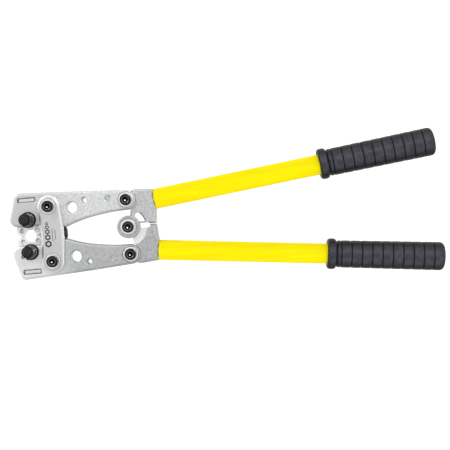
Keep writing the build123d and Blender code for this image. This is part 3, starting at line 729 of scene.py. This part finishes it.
def replace_spring(word, side, material):
    """A conical round-wire spring with closed, ground ends, between its seat and the collar."""
    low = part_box(f"{word}_spring_seat")[1].z
    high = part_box(f"{word}_spring_collar")[0].z
    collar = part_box(f"{word}_spring_collar")
    middle = (collar[0] + collar[1]) / 2
    turns = ACTIVE_TURNS + 2 * CLOSED_TURNS
    steps = int(turns * STEPS_PER_TURN)
    bm = bmesh.new()
    rings = []
    for step in range(steps + 1):
        turn = turns * step / steps
        angle = side * 2 * math.pi * turn
        height = spring_height(turn, turns, low, high)
        coil_r = SPRING_BASE_R + (SPRING_TOP_R - SPRING_BASE_R) * (height - low) / (high - low)
        ring = []
        for corner in range(WIRE_CORNERS):
            phase = 2 * math.pi * corner / WIRE_CORNERS
            reach = coil_r + WIRE_R * math.cos(phase)
            z = min(max(height + WIRE_R * math.sin(phase), low), high)
            x = middle.x + reach * math.cos(angle)
            y = middle.y + reach * math.sin(angle)
            ring.append(bm.verts.new((x, y, z)))
        rings.append(ring)
    for first, second in zip(rings, rings[1:]):
        join_rings(bm, first, second)
    bm.faces.new(rings[0])
    bm.faces.new(rings[-1])
    piece = as_piece(f"{word}_spring_wire", bm, material, f"{word}_jaw_body", 40.0)
    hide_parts(f"{word}_die_spring")
    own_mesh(piece)


# Grips


def end_middle(points):
    """The middle of the box round some points."""
    middle = []
    for axis in range(3):
        places = [point[axis] for point in points]
        middle.append((min(places) + max(places)) / 2)
    return Vector(middle)


def tube_axis(word):
    """The middle of a handle tube's rear end, and the direction from its front to its rear."""
    points = [vertex.co for vertex in frame["nodes"][f"{word}_handle_tube"].data.vertices]
    low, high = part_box(f"{word}_handle_tube")
    middle_x = (low.x + high.x) / 2
    front = end_middle([point for point in points if point.x < middle_x])
    rear = end_middle([point for point in points if point.x >= middle_x])
    return rear, (rear - front).normalized()


def body_radius(along):
    """The ribbed body's radius, without its grooves."""
    share = (along - NECK_END) / (GRIP_LONG - NECK_END)
    phase = (along - FIRST_GROOVE) / GROOVE_PITCH % 1
    crown = SECTION_CROWN * math.sin(math.pi * phase)
    return BODY_FRONT_R + (BODY_REAR_R - BODY_FRONT_R) * share + crown


def bead_points():
    """The round flange at the front of the grip, from its bore to the neck."""
    points = [(GRIP_BORE_R, BORE_START)]
    steps = 22
    for step in range(steps + 1):
        phase = math.pi * step / steps
        along = BEAD_LONG / 2 * (1 - math.copysign(abs(math.cos(phase)) ** BEAD_POWER, math.cos(phase)))
        radius = BEAD_BASE_R + (BEAD_R - BEAD_BASE_R) * math.sin(phase) ** BEAD_POWER
        points.append((radius, along))
    return points


def neck_points():
    """The hollow neck between the flange and the body."""
    steps = 10
    points = []
    for step in range(1, steps + 1):
        share = step / steps
        along = BEAD_LONG + (NECK_END - BEAD_LONG) * share
        blend = share * share * (3 - 2 * share)
        points.append((NECK_R + (body_radius(NECK_END) - NECK_R) * blend, along))
    return points


def groove_points(index):
    """One thin groove with rounded lips."""
    middle = FIRST_GROOVE + GROOVE_PITCH * index
    points = []
    for offset, share in GROOVE_SHAPE:
        along = middle + GROOVE_HALF * offset
        points.append((body_radius(along) - GROOVE_DEEP * share, along))
    return points


def section_points(index):
    """The crowned stretch after a groove, up to the next one or to the rounded end."""
    start = FIRST_GROOVE + GROOVE_PITCH * index + GROOVE_HALF
    last = index == GROOVE_COUNT - 1
    end = GRIP_LONG - END_ROUND if last else start + GROOVE_PITCH - 2 * GROOVE_HALF
    steps = 8
    places = [start + (end - start) * step / steps for step in range(1, steps)]
    return [(body_radius(along), along) for along in places]


def end_points():
    """The rounded end and its slightly domed face."""
    rim = body_radius(GRIP_LONG - END_ROUND)
    steps = 12
    points = []
    for step in range(steps + 1):
        turn = math.pi / 2 * step / steps
        along = GRIP_LONG - END_ROUND + (END_ROUND - END_DOME) * math.sin(turn)
        points.append((rim - END_DRAWN_IN * (1 - math.cos(turn)), along))
    flat = points[-1][0]
    for share in (0.85, 0.6, 0.3):
        points.append((flat * share, GRIP_LONG - END_DOME * share * share))
    return points + [(0, GRIP_LONG)]


def grip_profile():
    """The whole grip, from its blind bore over the flange, the neck and the ribs to its end."""
    points = bead_points() + neck_points()
    for index in range(GROOVE_COUNT):
        points += groove_points(index) + section_points(index)
    points += end_points()
    inner = GRIP_LONG - GRIP_PAST_TUBE + BORE_PAST_TUBE
    return [(0, inner), (GRIP_BORE_R, inner)] + points


def replace_grip(word, material):
    """A ribbed grip on the rear of a handle tube."""
    rear, axis = tube_axis(word)
    start = rear + axis * (GRIP_PAST_TUBE - GRIP_LONG)
    place = Matrix.Translation(start) @ axis.to_track_quat("Z", "Y").to_matrix().to_4x4()
    bm = bmesh.new()
    lathe(bm, place, grip_profile(), GRIP_SEGMENTS)
    piece = as_piece(f"{word}_grip_ribbed", bm, material, f"{word}_handle", 50.0)
    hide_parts(f"{word}_handle_grip")


# Mark and numbers


def flat_outline(bm, outer, inner, low, high):
    """A thin frame between two outlines with the same number of corners."""
    rings = []
    for outline, z in ((outer, high), (outer, low), (inner, low), (inner, high)):
        rings.append([bm.verts.new((x, y, z)) for x, y in outline])
    for first, second in zip(rings, rings[1:] + rings[:1]):
        join_rings(bm, first, second)


def mark_radius(index):
    """The radius of one of the mark's hexagons, from the largest to the smallest."""
    return MARK_HEX_LARGE + (MARK_HEX_SMALL - MARK_HEX_LARGE) * index / (MARK_HEX_COUNT - 1)


def hexagon_points(x, y, radius):
    """The corners of a hexagon with two of them on its Y axis."""
    turns = [math.pi / 3 * index + math.pi / 6 for index in range(6)]
    return [(x + radius * math.cos(turn), y + radius * math.sin(turn)) for turn in turns]


def bar_points(x, half_wide, low, high):
    """The corners of a bar along Y."""
    return [(x - half_wide, low), (x + half_wide, low), (x + half_wide, high), (x - half_wide, high)]


def plate_mark(material):
    """A row of hexagon outlines of changing size and two thin bars, on the front link plate."""
    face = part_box("link_plate_front")[1].z
    top = face + MARK_THICK
    middle_x = middle_of("link_bolts")[0]
    bm = bmesh.new()
    x = middle_x + MARK_X
    y = MARK_START + MARK_HEX_LARGE
    for index in range(MARK_HEX_COUNT):
        radius = mark_radius(index)
        hole = hexagon_points(x, y, radius * MARK_HEX_HOLE)
        flat_outline(bm, hexagon_points(x, y, radius), hole, face, top)
        y += radius + mark_radius(index + 1)
    for offset, reach in zip(MARK_BARS, MARK_BAR_REACH):
        low_y, high_y = MARK_BAR_Y - reach, MARK_BAR_Y + reach
        outer = bar_points(middle_x + offset, MARK_BAR_HALF_WIDE, low_y, high_y)
        low_slit, high_slit = low_y + MARK_BAR_EDGE, high_y - MARK_BAR_EDGE
        inner = bar_points(middle_x + offset, MARK_SLIT_HALF_WIDE, low_slit, high_slit)
        flat_outline(bm, outer, inner, face, top)
    as_piece("link_plate_mark", bm, material, "link_frame", 30.0)


def die_numbers(word, side, material):
    """A plain size number beside each notch, on the back of a die wheel."""
    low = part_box(f"{word}_die_wheel")[0]
    middle = middle_of(f"{word}_spring_collar")
    for index, text in enumerate(DIE_SIZES):
        curve = bpy.data.curves.new(f"{word}_die_number_{text}", "FONT")
        curve.body = text
        curve.size = NUMBER_HIGH
        curve.align_x = "CENTER"
        curve.align_y = "CENTER"
        curve.extrude = MARK_THICK
        number = bpy.data.objects.new(curve.name, curve)
        bpy.context.scene.collection.objects.link(number)
        turn = math.radians(side * (NOTCH_STEP * index - 90))
        x = middle[0] + NUMBER_REACH * math.cos(turn)
        y = middle[1] + NUMBER_REACH * math.sin(turn)
        number.location = (x, y, low.z)
        number.rotation_euler = (math.pi, 0, turn - math.pi / 2)
        bpy.context.view_layer.update()
        mesh = bpy.data.meshes.new_from_object(number)
        mesh.transform(number.matrix_world)
        bpy.data.objects.remove(number)
        piece = bpy.data.objects.new(f"{word}_die_size_{text}", mesh)
        mesh.materials.clear()
        mesh.materials.append(material)
        bpy.context.scene.collection.objects.link(piece)
        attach(piece, f"{word}_die")


# Stage


def area_light(name, target, place, size, power):
    """A round lamp that looks at the target."""
    light = bpy.data.lights.new(name, "AREA")
    light.shape = "DISK"
    light.size = size
    light.energy = power
    lamp = bpy.data.objects.new(name, light)
    lamp.location = place
    lamp.rotation_euler = (Vector(target) - Vector(place)).to_track_quat("-Z", "Y").to_euler()
    bpy.context.scene.collection.objects.link(lamp)
    return lamp


def set_stage():
    """White floor under the tool, a soft white room, and a small, a side and a low filling light."""
    low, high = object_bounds()
    middle = ((low.x + high.x) / 2, 0, 0)
    bm = bmesh.new()
    bmesh.ops.create_grid(bm, x_segments=4, y_segments=4, size=FLOOR_HALF)
    mesh = bpy.data.meshes.new("floor")
    bm.to_mesh(mesh)
    bm.free()
    mesh.materials.append(pale_floor())
    floor = bpy.data.objects.new("floor", mesh)
    floor.location = (middle[0], 0, low.z)
    floor.visible_diffuse = False
    floor.visible_glossy = False
    bpy.context.scene.collection.objects.link(floor)
    set_room()
    area_light("key", KEY_TARGET, *KEY_LIGHT)
    fill = area_light("fill", middle, *FILL_LIGHT)
    fill.visible_glossy = False
    area_light("side", middle, *SIDE_LIGHT)
    bpy.context.scene.view_settings.view_transform = "Standard"


def set_room():
    """A white tent: dim overhead, bright toward the sides and the lit table, open at the lower side."""
    world = bpy.data.worlds.new("room")
    world.use_nodes = True
    nodes = world.node_tree.nodes
    links = world.node_tree.links
    direction = nodes.new("ShaderNodeSeparateXYZ")
    links.new(nodes.new("ShaderNodeTexCoord").outputs["Generated"], direction.inputs[0])
    strength = nodes.new("ShaderNodeMath")
    strength.operation = "MULTIPLY"
    for socket, (axis, low, high, start, end) in zip(strength.inputs, ROOM_RAMPS):
        ramp = nodes.new("ShaderNodeMapRange")
        ramp.interpolation_type = "SMOOTHSTEP"
        links.new(direction.outputs[axis], ramp.inputs["Value"])
        for name, number in (("From Min", low), ("From Max", high), ("To Min", start), ("To Max", end)):
            ramp.inputs[name].default_value = number
        links.new(ramp.outputs["Result"], socket)
    background = nodes["Background"]
    background.inputs["Color"].default_value = (1, 1, 1, 1)
    links.new(strength.outputs["Value"], background.inputs["Strength"])
    bpy.context.scene.world = world


def set_camera():
    """The camera looks straight down."""
    data = bpy.data.cameras.new("camera")
    data.lens = CAMERA_LENS
    data.sensor_width = SENSOR_WIDTH
    data.clip_start = CLIP_START
    data.clip_end = CLIP_END
    camera = bpy.data.objects.new("camera", data)
    camera.location = CAMERA_AT
    camera.rotation_euler = (0, 0, math.radians(CAMERA_ROLL))
    bpy.context.scene.collection.objects.link(camera)
    bpy.context.scene.camera = camera


set_camera()
set_stage()
looks = make_looks()
paint_cad_nodes(looks)
replace_bolts("link_bolts", "link_frame", looks)
replace_bolts("centre_bolt", "upper_handle", looks)
ink = mark_ink()
plate_mark(ink)
for word, side in SIDES.items():
    replace_bolts(f"{word}_rear_bolt", f"{word}_jaw_body", looks)
    replace_spring(word, side, looks["spring_wire"])
    replace_grip(word, looks["grip_rubber"])
    die_numbers(word, side, ink)
